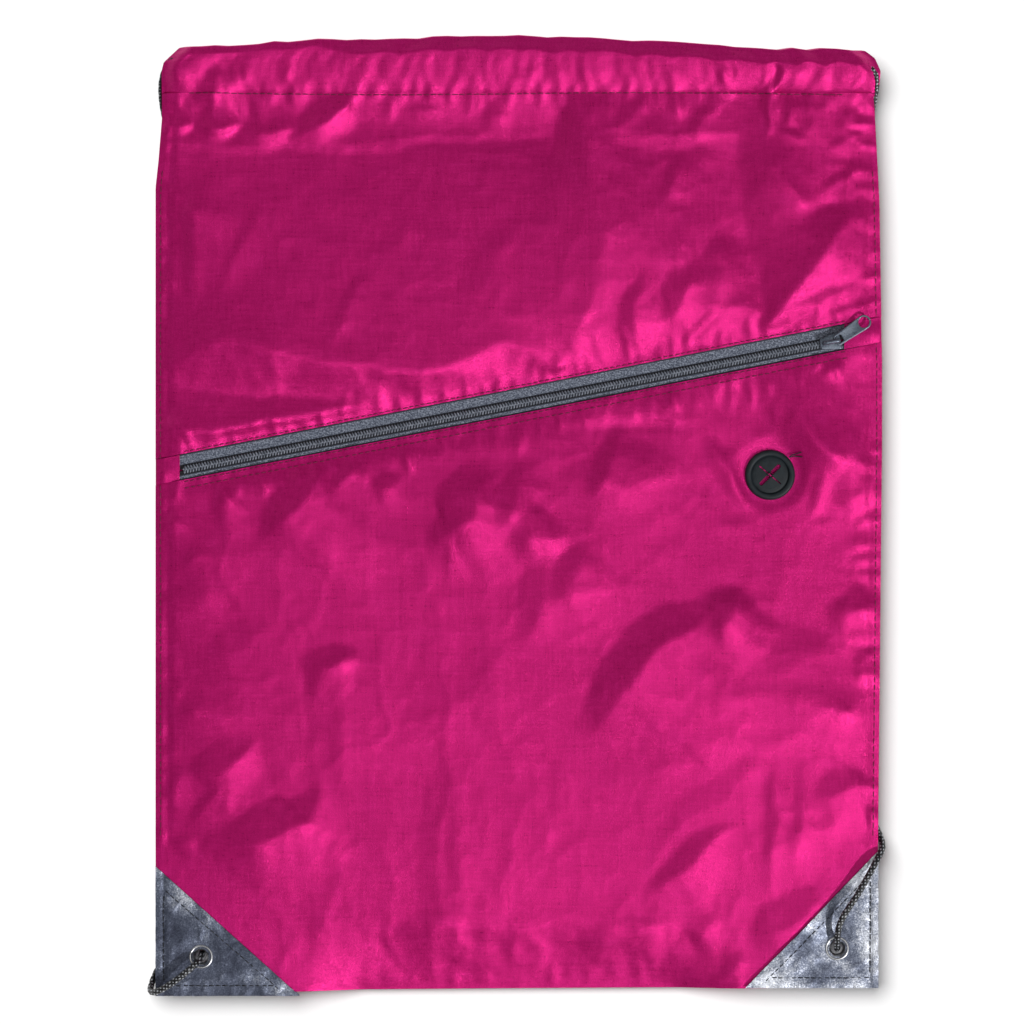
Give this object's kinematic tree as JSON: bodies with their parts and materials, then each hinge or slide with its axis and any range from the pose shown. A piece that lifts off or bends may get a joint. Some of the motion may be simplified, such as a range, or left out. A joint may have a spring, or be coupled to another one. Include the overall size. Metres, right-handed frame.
{
  "type": "drawstring backpack",
  "caption": "Flat drawstring backpack with cord shoulder loops, slanting zipped front pocket, cable port and eyeleted corner patches.",
  "frame": {"origin": "on the resting surface, under the middle of the bag's outline", "axes": "+X across the bag to the right, +Y from the bottom seam to the mouth, +Z out of the front"},
  "size_m": [0.3437, 0.4412, 0.0218],
  "materials": {
    "bag_cloth": "satin woven polyester",
    "patch_leather": "crinkled coated patch",
    "eyelet_metal": "polished plated",
    "zip_tape": "woven tape",
    "zip_coil": "satin nylon",
    "zip_enamel": "glossy enamel",
    "port_rubber": "matte moulded",
    "cord_braid": "braided polyester",
    "bag_thread": "sewing thread",
    "patch_thread": "sewing thread"
  },
  "bodies": {
    "bag": {"back_panel": "bag_cloth", "front_panel_upper": "bag_cloth", "front_panel_lower": "bag_cloth", "pocket_lining": "bag_cloth", "front_casing": "bag_cloth", "back_casing": "bag_cloth", "zip_tab_left": "bag_cloth", "zip_tab_right": "bag_cloth", "corner_patch_front_left": "patch_leather", "corner_patch_front_right": "patch_leather", "corner_patch_back_left": "patch_leather", "corner_patch_back_right": "patch_leather", "eyelet_left": "eyelet_metal", "eyelet_right": "eyelet_metal", "eyelet_washer_left": "eyelet_metal", "eyelet_washer_right": "eyelet_metal", "zip_tape_upper": "zip_tape", "zip_tape_lower": "zip_tape", "zip_coil_upper": "zip_coil", "zip_coil_lower": "zip_coil", "earphone_port": "port_rubber", "cord_left": "cord_braid", "cord_right": "cord_braid", "cord_knot_left": "cord_braid", "cord_knot_right": "cord_braid", "stitching_front_hem": "bag_thread", "stitching_back_hem": "bag_thread", "stitching_zip_upper": "bag_thread", "stitching_zip_lower": "bag_thread", "stitching_side_left": "bag_thread", "stitching_side_right": "bag_thread", "stitching_patch_left": "patch_thread", "stitching_patch_right": "patch_thread"},
    "slider": {"zip_slider": "zip_enamel"},
    "pull": {"zip_pull": "zip_enamel"}
  },
  "joints": [
    {"name": "zip_slide", "type": "slide", "parent": "bag", "child": "slider", "axis": [-0.9811, -0.1934, 0], "range_m": [0, 0.296]},
    {"name": "pull_flip", "type": "hinge", "parent": "slider", "child": "pull", "pos_m": [0.1454, 0.07971, 0.0167], "axis": [0.5664, -0.8241, 0], "range_deg": [0, 120]}
  ]
}
